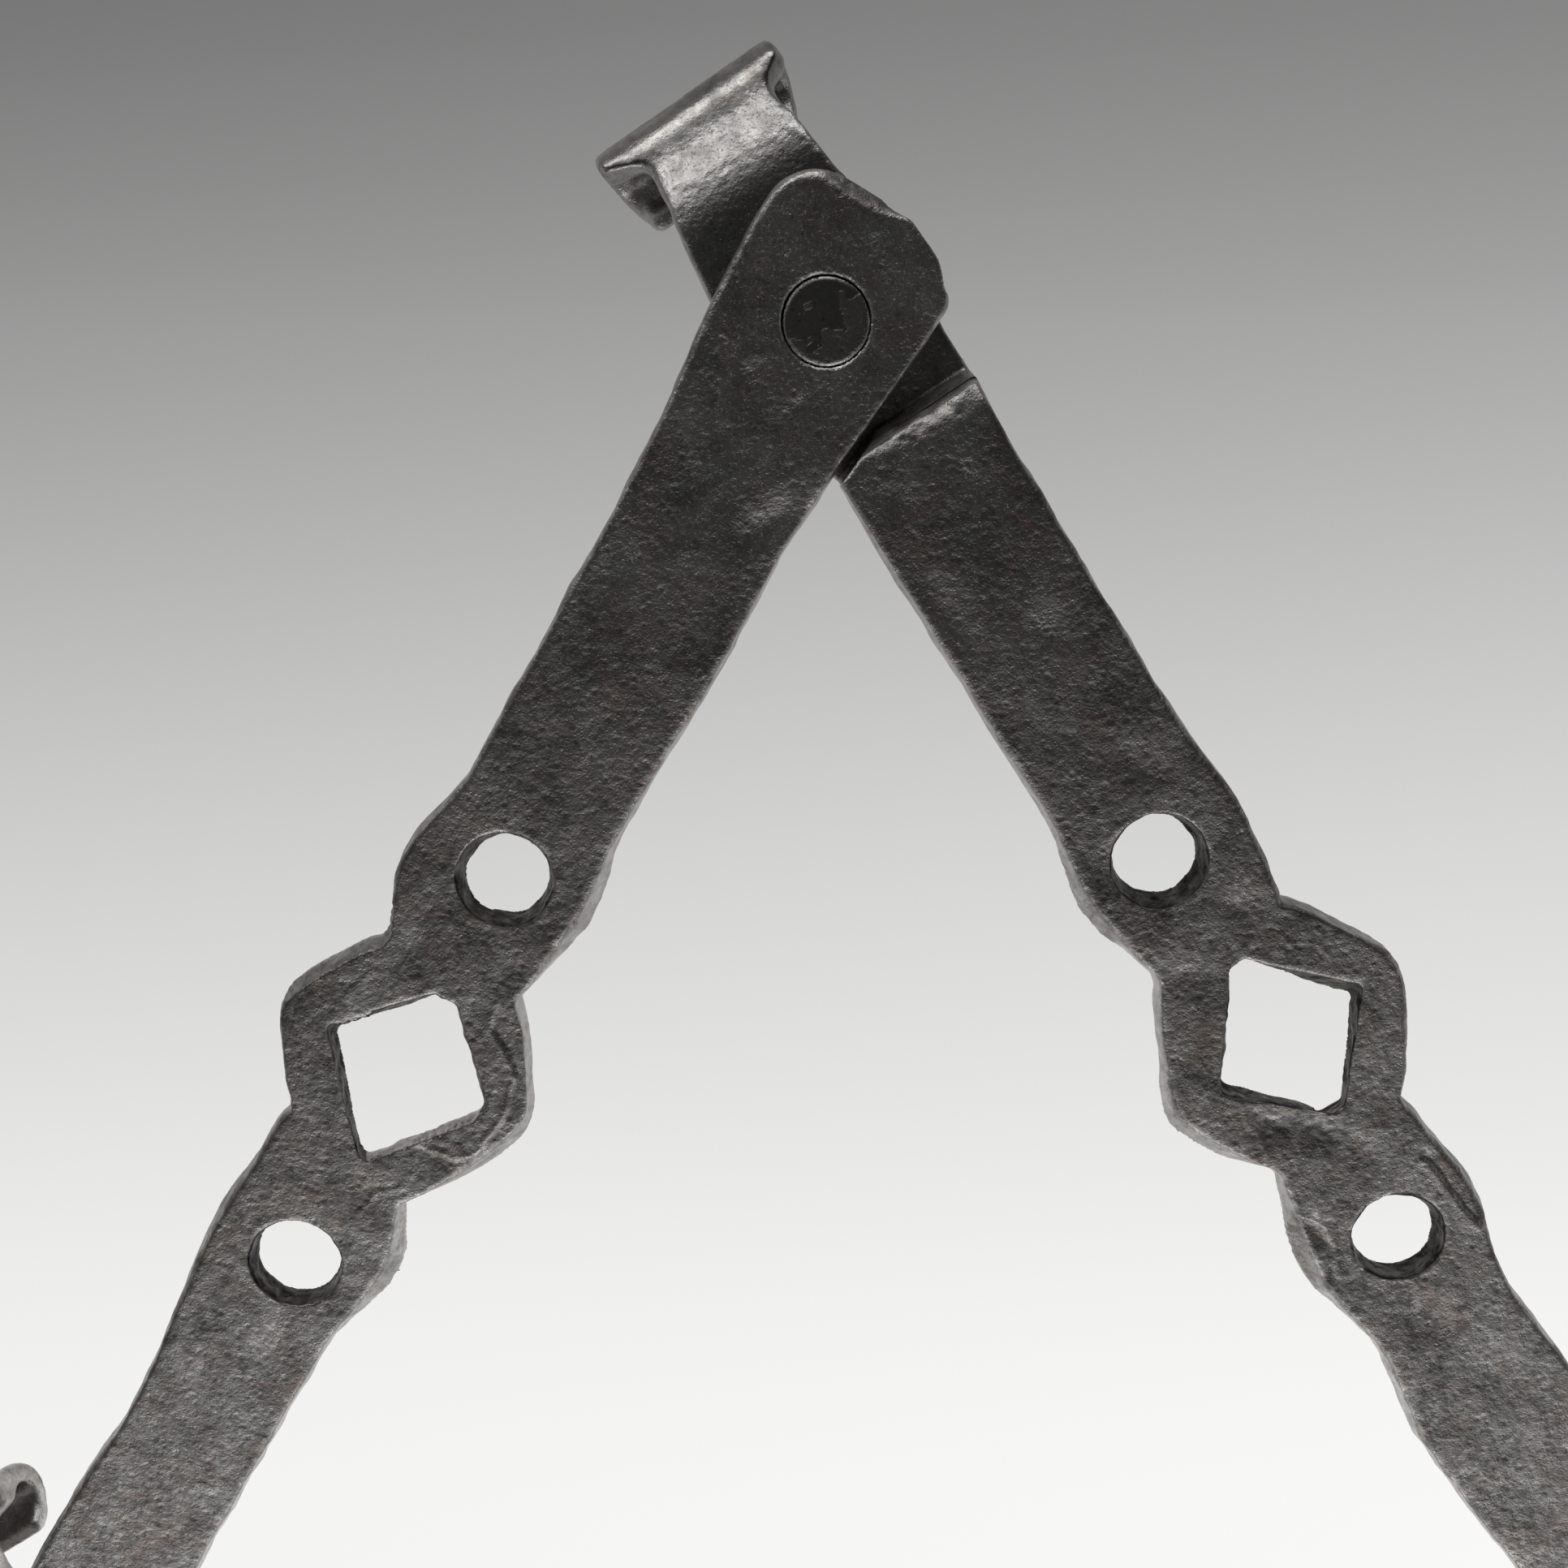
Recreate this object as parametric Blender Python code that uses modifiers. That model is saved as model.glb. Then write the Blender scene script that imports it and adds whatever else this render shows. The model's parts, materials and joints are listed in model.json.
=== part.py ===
"""Folding trivet forged from flat bar.

Four pierced flat bars are riveted at their ends into a rhombus that opens and
closes on its four rivets.  The two plain bars lie on top at every corner.  The
two footed bars are set down under them, and each runs on past its rivets into
a fishtail scroll that is rolled under and carries the trivet.  All four top
faces are level.

World frame, metres: +Z up, the scroll feet stand on z = 0, the origin is the
centre of the rhombus, +Y runs along its long diagonal to the top rivet.

Bar frame: +X runs along the bar from its first rivet, at an acute corner (top
or bottom), to its second, at an obtuse one (left or right).  "Along" is the
distance from the first rivet.  +Y is the inner side of a plain bar, facing the
centre of the rhombus, and the outer side of a footed bar.
"""

import math
from collections import namedtuple

import bmesh
import bpy
from mathutils import Matrix, Vector

MM = 0.001

# ---- driving dimensions, millimetres and degrees -------------------------
STOCK_THICKNESS = 6.35      # 1/4 in flat bar
PITCH = 276.0               # rivet to rivet along a bar
CORNER_ANGLE = 62.9         # angle between the bars at the top rivet, at rest
LAP_GAP = 0.3               # play between the two bars of a corner
EDGE = 0.55                 # worn edge of the bars
SOLE_WEAR = 0.22            # worn flat under each scroll

# ---- outlines of the bars ------------------------------------------------

# A peak is straight-sided with a blunt point and a small nick at each foot.
PEAK_BLUNTNESS = 0.16       # share of the peak's reach
NICK_DEPTH = 0.12           # share of the peak's height
NICK_SPREAD = 0.13          # share of the peak's reach


def swell(offset, before, after, height):
    """Smooth rise and fall round offset 0, as a drifted hole pushes a side out."""
    reach = before if offset < 0 else after
    if abs(offset) >= reach:
        return 0.0
    return height * 0.5 * (1.0 + math.cos(math.pi * offset / reach))


def swollen(along, base, swells):
    """The base value raised by every swell (centre, before, after, height)."""
    for centre, before, after, height in swells:
        base += swell(along - centre, before, after, height)
    return base


def peak(offset, before, after, height):
    """Straight-sided rise to a blunt point at offset 0."""
    share = abs(offset) / (before if offset < 0 else after)
    nick = -NICK_DEPTH * height * math.exp(-(((share - 1.0) / NICK_SPREAD) ** 2))
    if share >= 1.0:
        return nick
    fall = math.sqrt(share * share + PEAK_BLUNTNESS**2 * (1.0 - share) ** 2)
    return height * (1.0 - fall) / (1.0 - PEAK_BLUNTNESS) + nick


class Side:
    """Half-width of one side of a bar: a base, swells and one peak.

    Swells and peak are (centre, reach before it, reach after it, height).
    """

    def __init__(self, base, swells, peak_shape):
        self.base, self.swells, self.peak_shape = base, swells, peak_shape

    def at(self, along):
        centre, before, after, height = self.peak_shape
        width = swollen(along, self.base, self.swells)
        return width + peak(along - centre, before, after, height)


def at_both_ends(centre, before, after, height):
    """A swell near the first rivet and its mirror image near the second."""
    return [(centre, before, after, height), (PITCH - centre, after, before, height)]


PLAIN_INNER = Side(
    10.9,
    at_both_ends(-9.5, 9.0, 44.0, 3.0)
    + [(91.5, 9.0, 17.0, 0.9), (164.0, 13.0, 18.0, 2.2), (50.0, 25.0, 25.0, 0.5)],
    (129.0, 17.0, 23.5, 9.2),
)
PLAIN_OUTER = Side(
    13.3,
    at_both_ends(-6.0, 20.0, 42.0, 2.2)
    + [(99.0, 16.0, 14.0, 2.9), (170.0, 18.0, 14.0, 0.9), (205.0, 24.0, 30.0, -1.4)],
    (129.7, 16.5, 15.5, 8.2),
)
FOOTED_INNER = Side(
    10.8,
    [(94.0, 16.0, 14.0, 1.6), (171.0, 20.0, 18.0, 2.6), (205.0, 24.0, 44.0, 2.8)],
    (132.5, 21.5, 16.5, 7.6),
)
FOOTED_OUTER = Side(
    13.2,
    at_both_ends(0.0, 20.0, 22.0, 1.0)
    + at_both_ends(17.0, 10.0, 16.0, 0.6)
    + [(92.0, 14.0, 15.0, 1.3), (167.0, 13.0, 12.0, 1.3), (188.0, 16.0, 16.0, -1.6)],
    (128.0, 18.0, 20.5, 9.1),
)

# How far the sides bulge out below mid-thickness.
END_BULGE = 0.35
FOOT_BULGE = 0.25
INNER_BULGE = 0.6
INNER_BULGE_SWELLS = ((97.0, 18.0, 11.0, 1.5), (138.0, 16.0, 14.0, 2.0), (163.0, 14.0, 20.0, 2.0))
OUTER_BULGE = 0.35
OUTER_BULGE_SWELLS = ((168.0, 14.0, 20.0, 0.5),)


def inner_bulge(along):
    """Inner sides stand out low down where the holes were drifted from above."""
    return swollen(along, INNER_BULGE, INNER_BULGE_SWELLS)


def outer_bulge(along):
    return swollen(along, OUTER_BULGE, OUTER_BULGE_SWELLS)


# ---- cross-sections of the bars ------------------------------------------

# The section stands at (along, z), its up direction leaning by tilt in the
# length-height plane.  minus_y and plus_y are its half-widths on the two
# sides, and each side bulges past its half-width by its bulge.
Station = namedtuple(
    "Station", "along z tilt minus_y plus_y thickness minus_bulge plus_bulge"
)

# Height of the fullest point of each side, as a share of half the thickness.
MINUS_BULGE_HEIGHT = -0.1
PLUS_BULGE_HEIGHT = -0.3


def section_ring(station, origin_along):
    """Outline of a section as points in the bar frame."""
    top = station.thickness / 2.0
    low_y, high_y = -station.minus_y, station.plus_y
    outline = [
        (high_y - EDGE, top),
        (low_y + EDGE, top),
        (low_y, top - EDGE),
        (low_y - station.minus_bulge, MINUS_BULGE_HEIGHT * top),
        (low_y, -top + EDGE),
        (low_y + EDGE, -top),
        (high_y - EDGE, -top),
        (high_y, -top + EDGE),
        (high_y + station.plus_bulge, PLUS_BULGE_HEIGHT * top),
        (high_y, top - EDGE),
    ]
    up_x, up_z = -math.sin(station.tilt), math.cos(station.tilt)
    return [
        (station.along + up * up_x - origin_along, across, station.z + up * up_z)
        for across, up in outline
    ]


def mirrored(stations):
    """The same sections measured from the second rivet, in reverse order."""
    return [
        station._replace(along=PITCH - station.along, tilt=-station.tilt)
        for station in reversed(stations)
    ]


def ease(share):
    """Smooth step from 0 to 1."""
    share = min(max(share, 0.0), 1.0)
    return share * share * (3.0 - 2.0 * share)


# Sections are set closer together where the outline moves fast.
BODY_START = 24.0
BODY_STRETCHES = (  # where the stretch stops, widest spacing
    (80.0, 8.0), (108.0, 4.0), (152.0, 2.0), (188.0, 4.0), (PITCH - 26.0, 8.0),
)


def body_places():
    """Places of the sections between the two ends of a bar."""
    places = [BODY_START]
    for stop, spacing in BODY_STRETCHES:
        start = places[-1]
        count = math.ceil((stop - start) / spacing)
        places += [start + (stop - start) * i / count for i in range(1, count + 1)]
    return places


# ---- plain bar -----------------------------------------------------------

END_REACH = 18.2            # plain end past the rivet
END_CORNER_OUTER = 6.0      # radius of its outer corner
END_CUT_RUN = 7.0           # its inner corner is cut back this far
END_CUT_WIDTH = 12.0        # and this wide
END_CUT_CURVE = 1.35        # exponent of the cut's slight curve
END_FACE_THINNING = 0.86    # thickness of the end face over that of the stock

END_ROUND_RUN = 8.0         # sections crowd towards the end over this run
END_ROUND_STEPS = 9
END_PLACES = (-7.0, -3.0, 3.0, 10.0, 17.0)


def past_rivet(along):
    """Distance past the nearer rivet, negative between the rivets."""
    return max(-along, along - PITCH)


def round_corner(along):
    """How far the rounded outer corner of a plain end draws the side in."""
    past = past_rivet(along) - (END_REACH - END_CORNER_OUTER)
    share = min(max(past / END_CORNER_OUTER, 0.0), 1.0)
    return END_CORNER_OUTER * (1.0 - math.sqrt(1.0 - share * share))


def cut_corner(along):
    """How far the inner corner of a plain end, cut back on a slant, draws the side in."""
    past = past_rivet(along) - (END_REACH - END_CUT_RUN)
    return END_CUT_WIDTH * max(0.0, past / END_CUT_RUN) ** END_CUT_CURVE


def plain_station(along, thickness, minus_bulge, plus_bulge):
    return Station(
        along=along,
        z=TOP - STOCK_THICKNESS / 2.0,
        tilt=0.0,
        minus_y=PLAIN_OUTER.at(along) - round_corner(along),
        plus_y=PLAIN_INNER.at(along) - cut_corner(along),
        thickness=thickness,
        minus_bulge=minus_bulge,
        plus_bulge=plus_bulge,
    )


def plain_stations():
    """A level bar with two plain ends."""
    end = [
        -END_REACH + END_ROUND_RUN * (1.0 - math.cos(math.pi / 2.0 * i / END_ROUND_STEPS))
        for i in range(END_ROUND_STEPS + 1)
    ]
    end += END_PLACES

    def end_station(along):
        at_face = past_rivet(along) > END_REACH - 0.1
        thickness = STOCK_THICKNESS * (END_FACE_THINNING if at_face else 1.0)
        return plain_station(along, thickness, END_BULGE, END_BULGE)

    stations = [end_station(along) for along in end]
    stations += [
        plain_station(along, STOCK_THICKNESS, outer_bulge(along), inner_bulge(along))
        for along in body_places()
    ]
    return stations + [end_station(PITCH - along) for along in reversed(end)]


# ---- scroll foot ---------------------------------------------------------

NECK_RUN = 20.3             # lap level past the rivet before the bend down
KNEE_RADIUS, KNEE_TURN = 12.0, 35.0
SLOPE_RUN = 1.6
HOLLOW_RADIUS, HOLLOW_TURN = 10.0, 22.0
SCROLL_RADIUS, SCROLL_TURN = 5.6, 258.0
SCROLL_TIGHTEN = 0.9        # last radius over first radius

FOOT_MOVES = (  # run or radius, turn (up positive), steps, last radius over first
    (NECK_RUN, 0.0, 2, 1.0),
    (KNEE_RADIUS, -KNEE_TURN, 5, 1.0),
    (SLOPE_RUN, 0.0, 1, 1.0),
    (HOLLOW_RADIUS, HOLLOW_TURN, 4, 1.0),
    (SCROLL_RADIUS, -SCROLL_TURN, 22, SCROLL_TIGHTEN),
)

FOOT_START = 8.0            # the foot takes over from the lap here
LAP_HALF, NECK_HALF, WING_HALF = 13.2, 10.3, 15.6
NECK_SHIFT, WING_SHIFT = 0.6, -0.7   # towards the bar's outer side
NECK_THINNING = 0.9
FLARE_LEAD, FLARE_RUN = 0.6, 3.4     # the wings open from just before the scroll
TIP_NARROWING, TIP_RUN = 2.6, 12.0
TIP_THICKNESS = 3.2
TIP_THINNING_RATE = 1.35    # the tip thickness is reached this much sooner than the tip


def foot_path(lap_z):
    """Centre line of a foot from the rivet outward: (out, z, heading, distance walked)."""
    out, z, heading, walked = 0.0, lap_z, 0.0, 0.0
    path = [(out, z, heading, walked)]
    for size, turn, count, tighten in FOOT_MOVES:
        step_turn = math.radians(turn) / count
        for i in range(count):
            if turn:
                radius = size * (1.0 + (tighten - 1.0) * (i + 0.5) / count)
                length = abs(radius * step_turn)
            else:
                length = size / count
            middle = heading + step_turn / 2.0
            out += length * math.cos(middle)
            z += length * math.sin(middle)
            heading += step_turn
            walked += length
            path.append((out, z, heading, walked))
    return path


def foot_stations(lap_z):
    """The foot past the first rivet, from the rivet outward."""
    path = foot_path(lap_z)
    scroll_start = (
        NECK_RUN
        + math.radians(KNEE_TURN) * KNEE_RADIUS
        + SLOPE_RUN
        + math.radians(HOLLOW_TURN) * HOLLOW_RADIUS
    )
    total = path[-1][3]
    stations = []
    for out, z, heading, walked in path:
        if walked < FOOT_START:
            continue
        taper = ease((walked - FOOT_START) / (scroll_start - FOOT_START))
        flare = ease((walked - scroll_start + FLARE_LEAD) / FLARE_RUN)
        half_width = LAP_HALF + (NECK_HALF - LAP_HALF) * taper
        half_width += (WING_HALF - NECK_HALF) * flare
        half_width -= TIP_NARROWING * ease((walked - total + TIP_RUN) / TIP_RUN)
        shift = NECK_SHIFT + (WING_SHIFT - NECK_SHIFT) * flare
        thinning = (walked - scroll_start) / (total - scroll_start) * TIP_THINNING_RATE
        thickness = STOCK_THICKNESS - NECK_THINNING * taper
        thickness += (TIP_THICKNESS - thickness) * ease(thinning)
        stations.append(
            Station(
                along=-out,
                z=z,
                tilt=-heading,
                minus_y=half_width - shift,
                plus_y=half_width + shift,
                thickness=thickness,
                minus_bulge=FOOT_BULGE,
                plus_bulge=FOOT_BULGE,
            )
        )
    return stations


# Height of the top faces that puts the worn soles on the ground.
lowest = min(station.z - station.thickness / 2.0 for station in foot_stations(0.0))
TOP = -lowest - SOLE_WEAR + STOCK_THICKNESS * 1.5 + LAP_GAP
LAP_TOP = TOP - STOCK_THICKNESS - LAP_GAP   # top face of a footed bar at its rivets

# ---- footed bar ----------------------------------------------------------

SHOULDER_FOOT_ACUTE = 16.7  # where the step up from the lap starts, acute corner
SHOULDER_FOOT_OBTUSE = 18.3
SHOULDER_RUN = 1.9          # length of the steep face
UNDERSIDE_RISE_START, UNDERSIDE_RISE_RUN = 13.0, 12.0

LAP_PLACES = (0.0, 6.0, 11.0, 14.5)
SHOULDER_SHARES = (0.35, 0.7, 1.0)   # places on the steep face
SHOULDER_TOP_PLACES = (1.4, 3.2)     # places beyond it


def lap_and_shoulder(shoulder_foot, inner_at, outer_at):
    """From a rivet towards the body: low under the crossing bar, then a steep step up."""
    places = [*LAP_PLACES, shoulder_foot]
    places += [shoulder_foot + SHOULDER_RUN * share for share in SHOULDER_SHARES]
    places += [shoulder_foot + SHOULDER_RUN + beyond for beyond in SHOULDER_TOP_PLACES]
    stations = []
    for along in places:
        upper = LAP_TOP + (TOP - LAP_TOP) * ease((along - shoulder_foot) / SHOULDER_RUN)
        rise = ease((along - UNDERSIDE_RISE_START) / UNDERSIDE_RISE_RUN)
        lower = LAP_TOP - STOCK_THICKNESS + (TOP - LAP_TOP) * rise
        stations.append(
            Station(
                along=along,
                z=(upper + lower) / 2.0,
                tilt=0.0,
                minus_y=inner_at(along),
                plus_y=outer_at(along),
                thickness=upper - lower,
                minus_bulge=END_BULGE,
                plus_bulge=END_BULGE,
            )
        )
    return stations


def footed_stations():
    """A bar with a scroll foot past each rivet."""
    foot = foot_stations(LAP_TOP - STOCK_THICKNESS / 2.0)
    near = lap_and_shoulder(SHOULDER_FOOT_ACUTE, FOOTED_INNER.at, FOOTED_OUTER.at)
    far = lap_and_shoulder(
        SHOULDER_FOOT_OBTUSE,
        lambda along: FOOTED_INNER.at(PITCH - along),
        lambda along: FOOTED_OUTER.at(PITCH - along),
    )
    body = [
        Station(
            along=along,
            z=TOP - STOCK_THICKNESS / 2.0,
            tilt=0.0,
            minus_y=FOOTED_INNER.at(along),
            plus_y=FOOTED_OUTER.at(along),
            thickness=STOCK_THICKNESS,
            minus_bulge=inner_bulge(along),
            plus_bulge=outer_bulge(along),
        )
        for along in body_places()[1:]   # the first is too close to the shoulder
    ]
    near_end = foot[::-1] + near
    far_end = foot[::-1] + far
    return near_end + body + mirrored(far_end)


# ---- openings ------------------------------------------------------------

HOLE_SEGMENTS = 30
RIVET_HOLE_RADIUS = 6.38
CUTTER_TOP = TOP + 5.0              # rivet hole cutters end here
PLAIN_CUTTER_BOTTOM = TOP - 12.0
FOOTED_CUTTER_BOTTOM = 1.0
DRIFT_OVERSHOOT = 0.15              # past each face, as a share of the thickness

# Round holes, drifted by hand from above with a tapered drift: along, across,
# how much farther along the drift came out below, radius above and below.
PLAIN_HOLES = ((95.4, -0.8, 0.8, 7.5, 6.4), (169.2, 0.0, 1.6, 7.5, 6.7))
FOOTED_HOLES = ((94.0, -0.2, 0.5, 7.5, 6.3), (168.7, 0.6, 1.5, 7.5, 6.6))

# Corners of the square drift's hole, above and below: along, across, cut back.
PLAIN_DIAMOND = (
    ((115.0, 0.2, 2.7), (129.9, -14.0, 0.8), (147.6, 0.6, 1.0), (129.7, 14.6, 0.8)),
    ((117.6, 0.6, 2.4), (132.3, -12.5, 0.8), (150.4, 1.2, 1.2), (132.8, 14.4, 0.8)),
)
FOOTED_DIAMOND = (
    ((113.0, 1.5, 2.1), (132.1, -11.4, 0.7), (145.5, 3.2, 1.6), (128.0, 16.3, 0.6)),
    ((115.5, 1.8, 1.8), (133.2, -10.3, 0.8), (148.6, 2.6, 3.2), (131.2, 14.4, 0.6)),
)

# Filed relief beside the crossing bar, on the shoulder by the first rivet.
RELIEF_ANGLE = 21.7                 # its wall faces the rivet at this angle
RELIEF_DISTANCE = 15.0              # from the rivet to the wall
RELIEF_DEPTH = 9.0                  # from the wall back towards the rivet
RELIEF_INNER, RELIEF_OUTER = 24.0, 6.0   # its extent to either side
RELIEF_TOP = TOP + 4.0

# Block under each foot that flattens its sole.
SOLE_OFFSET = 30.0                  # block centre past the rivet
SOLE_HALF_LENGTH, SOLE_HALF_WIDTH, SOLE_DEPTH = 18.0, 24.0, 6.0


def circle(x, y, radius):
    angles = [2.0 * math.pi * i / HOLE_SEGMENTS for i in range(HOLE_SEGMENTS)]
    return [(x + radius * math.cos(angle), y + radius * math.sin(angle)) for angle in angles]


def diamond(corners):
    """Four-sided outline whose corners (x, y, cut back) each end in a small flat."""
    outline = []
    for i, (x, y, flat) in enumerate(corners):
        here = Vector((x, y))
        for other in (corners[i - 1], corners[(i + 1) % 4]):
            outline.append(here + (Vector(other[:2]) - here).normalized() * flat)
    return [(point.x, point.y) for point in outline]


def carried_on(start, end):
    """The end outline carried on past its face in line with the start outline."""
    return [
        (x + (x - start_x) * DRIFT_OVERSHOOT, y + (y - start_y) * DRIFT_OVERSHOOT)
        for (start_x, start_y), (x, y) in zip(start, end)
    ]


# ---- bodies and bars -----------------------------------------------------


def skinned(name, rings):
    """One closed body through rings of points given in millimetres."""
    mesh = bpy.data.meshes.new(name)
    bm = bmesh.new()
    loops = [[bm.verts.new(Vector(point) * MM) for point in ring] for ring in rings]
    for current, following in zip(loops, loops[1:]):
        for i in range(len(current)):
            j = (i + 1) % len(current)
            bm.faces.new((current[i], current[j], following[j], following[i]))
    bm.faces.new(list(reversed(loops[0])))
    bm.faces.new(loops[-1])
    bmesh.ops.recalc_face_normals(bm, faces=bm.faces)
    bm.to_mesh(mesh)
    bm.free()
    return bpy.data.objects.new(name, mesh)


def place(obj, matrix, collection):
    obj.matrix_world = matrix
    collection.objects.link(obj)


def iron(name, colour, roughness, metallic):
    material = bpy.data.materials.new(name)
    material.use_nodes = True
    shader = material.node_tree.nodes["Principled BSDF"]
    shader.inputs["Base Color"].default_value = (*colour, 1.0)
    shader.inputs["Roughness"].default_value = roughness
    shader.inputs["Metallic"].default_value = metallic
    material.diffuse_color = (*colour, 1.0)
    return material


class Bar:
    """A bar object with its origin on the rivet at origin_along, and its cutters."""

    def __init__(self, name, pin, way, origin_along, stations):
        self.name, self.origin_along = name, origin_along
        turn = math.atan2(way.y, way.x)
        self.matrix = Matrix.Translation(pin * MM) @ Matrix.Rotation(turn, 4, "Z")
        self.obj = skinned(name, [section_ring(station, origin_along) for station in stations])
        place(self.obj, self.matrix, trivet)

    def cut(self, label, below, low, above, high):
        """Subtract the body between two like outlines, one at each height."""
        rings = [
            [(x - self.origin_along, y, z) for x, y in outline]
            for outline, z in ((below, low), (above, high))
        ]
        cutter = skinned(f"{self.name}_{label}", rings)
        place(cutter, self.matrix, cutters)
        cutter.hide_render = True
        cutter.display_type = "WIRE"
        modifier = self.obj.modifiers.new(cutter.name, "BOOLEAN")
        modifier.operation = "DIFFERENCE"
        modifier.solver = "EXACT"
        modifier.object = cutter

    def cut_drifted(self, label, below, above):
        """Subtract a drifted hole given by its outlines on the two faces."""
        past = STOCK_THICKNESS * DRIFT_OVERSHOOT
        self.cut(
            label,
            carried_on(above, below),
            TOP - STOCK_THICKNESS - past,
            carried_on(below, above),
            TOP + past,
        )

    def pierce(self, holes, diamond_corners, rivet_hole_bottom):
        for label, along in (("near_rivet_hole", 0.0), ("far_rivet_hole", PITCH)):
            outline = circle(along, 0.0, RIVET_HOLE_RADIUS)
            self.cut(label, outline, rivet_hole_bottom, outline, CUTTER_TOP)
        for label, hole in zip(("near_round_hole", "far_round_hole"), holes):
            along, across, lean, radius_above, radius_below = hole
            below = circle(along + lean, across, radius_below)
            self.cut_drifted(label, below, circle(along, across, radius_above))
        above, below = diamond_corners
        self.cut_drifted("diamond_hole", diamond(below), diamond(above))

    def cut_relief(self):
        angle = math.radians(RELIEF_ANGLE)
        normal = Vector((math.cos(angle), math.sin(angle)))
        outward = Vector((-normal.y, normal.x))
        wall = normal * RELIEF_DISTANCE
        corners = (
            wall - outward * RELIEF_INNER,
            wall + outward * RELIEF_OUTER,
            wall + outward * RELIEF_OUTER - normal * RELIEF_DEPTH,
            wall - outward * RELIEF_INNER - normal * RELIEF_DEPTH,
        )
        outline = [(corner.x, corner.y) for corner in corners]
        self.cut("relief", outline, LAP_TOP, outline, RELIEF_TOP)

    def cut_soles(self):
        for label, centre in (("near", -SOLE_OFFSET), ("far", PITCH + SOLE_OFFSET)):
            outline = [
                (centre + x * SOLE_HALF_LENGTH, y * SOLE_HALF_WIDTH)
                for x, y in ((-1, -1), (1, -1), (1, 1), (-1, 1))
            ]
            self.cut(f"{label}_sole", outline, -SOLE_DEPTH, outline, 0.0)

    def finish(self, colour):
        mesh = self.obj.data
        mesh.materials.append(
            iron(self.name + "_iron", colour=colour, roughness=0.55, metallic=0.85)
        )
        mesh.set_sharp_from_angle(angle=math.radians(24.0))
        for polygon in mesh.polygons:
            polygon.use_smooth = True


def plain_bar(name, pin, way, origin_along, colour):
    bar = Bar(name, pin, way, origin_along, plain_stations())
    bar.pierce(PLAIN_HOLES, PLAIN_DIAMOND, PLAIN_CUTTER_BOTTOM)
    bar.finish(colour)


def footed_bar(name, pin, way, origin_along, colour):
    bar = Bar(name, pin, way, origin_along, footed_stations())
    bar.pierce(FOOTED_HOLES, FOOTED_DIAMOND, FOOTED_CUTTER_BOTTOM)
    bar.cut_relief()
    bar.cut_soles()
    bar.finish(colour)


# ---- rivets --------------------------------------------------------------

RIVET_RADIUS = 6.05
RIVET_CHAMFER = 0.35        # round the flush top
RIVET_HEAD_RADIUS = 10.0    # snap head under each corner
RIVET_HEAD_HEIGHT = 4.0
RIVET_HEAD_EDGE = 0.6       # chamfer round the upper edge of the head
HEAD_STEPS = 4
RIVET_SEGMENTS = 30


def rivet_profile():
    """Half-profile (radius, z), from the flush top down to the foot of the head."""
    under = TOP - 2.0 * STOCK_THICKNESS - 2.0 * LAP_GAP
    dome = RIVET_HEAD_HEIGHT - RIVET_HEAD_EDGE
    profile = [
        (0.0, TOP),
        (RIVET_RADIUS - RIVET_CHAMFER, TOP),
        (RIVET_RADIUS, TOP - RIVET_CHAMFER),
        (RIVET_RADIUS, under),
        (RIVET_HEAD_RADIUS - RIVET_HEAD_EDGE, under),
    ]
    for i in range(HEAD_STEPS):
        turn = math.pi / 2.0 * i / HEAD_STEPS
        z = under - RIVET_HEAD_EDGE - dome * math.sin(turn)
        profile.append((RIVET_HEAD_RADIUS * math.cos(turn), z))
    return profile + [(0.0, under - RIVET_HEAD_HEIGHT)]


def rivet(name, pin):
    """Turned rivet: flush flat top, straight shank, snap head under the lap."""
    mesh = bpy.data.meshes.new(name)
    bm = bmesh.new()
    points = [bm.verts.new(Vector((radius, 0.0, z)) * MM) for radius, z in rivet_profile()]
    for pair in zip(points, points[1:]):
        bm.edges.new(pair)
    bm.to_mesh(mesh)
    bm.free()
    obj = bpy.data.objects.new(name, mesh)
    place(obj, Matrix.Translation(pin * MM), trivet)
    screw = obj.modifiers.new("turned", "SCREW")
    screw.angle = 2.0 * math.pi
    screw.steps = screw.render_steps = RIVET_SEGMENTS
    screw.use_merge_vertices = True
    screw.merge_threshold = 0.05 * MM
    screw.use_smooth_shade = True
    mesh.materials.append(
        iron(name + "_iron", colour=(0.10, 0.096, 0.092), roughness=0.42, metallic=0.9)
    )


# ---- assembly ------------------------------------------------------------

for old in list(bpy.data.objects):
    bpy.data.objects.remove(old, do_unlink=True)

trivet = bpy.data.collections.new("folding_trivet")
cutters = bpy.data.collections.new("cutters")
for collection in (trivet, cutters):
    bpy.context.scene.collection.children.link(collection)

half_angle = math.radians(CORNER_ANGLE / 2.0)
# Directions from the top rivet to the left one and to the right one.
plain_way = Vector((-math.sin(half_angle), -math.cos(half_angle), 0.0))
footed_way = Vector((math.sin(half_angle), -math.cos(half_angle), 0.0))
top_pin = -(plain_way + footed_way) * PITCH / 2.0
left_pin = top_pin + plain_way * PITCH
right_pin = top_pin + footed_way * PITCH
bottom_pin = left_pin + footed_way * PITCH

BARS = (
    # builder, name, pin at its origin, direction of its length, origin along it, colour
    (plain_bar, "plain_bar_left", top_pin, plain_way, 0.0, (0.115, 0.110, 0.104)),
    (plain_bar, "plain_bar_right", right_pin, -plain_way, PITCH, (0.120, 0.114, 0.106)),
    (footed_bar, "footed_bar_right", top_pin, footed_way, 0.0, (0.105, 0.100, 0.096)),
    (footed_bar, "footed_bar_left", left_pin, -footed_way, PITCH, (0.110, 0.104, 0.098)),
)
for build, *details in BARS:
    build(*details)

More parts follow.
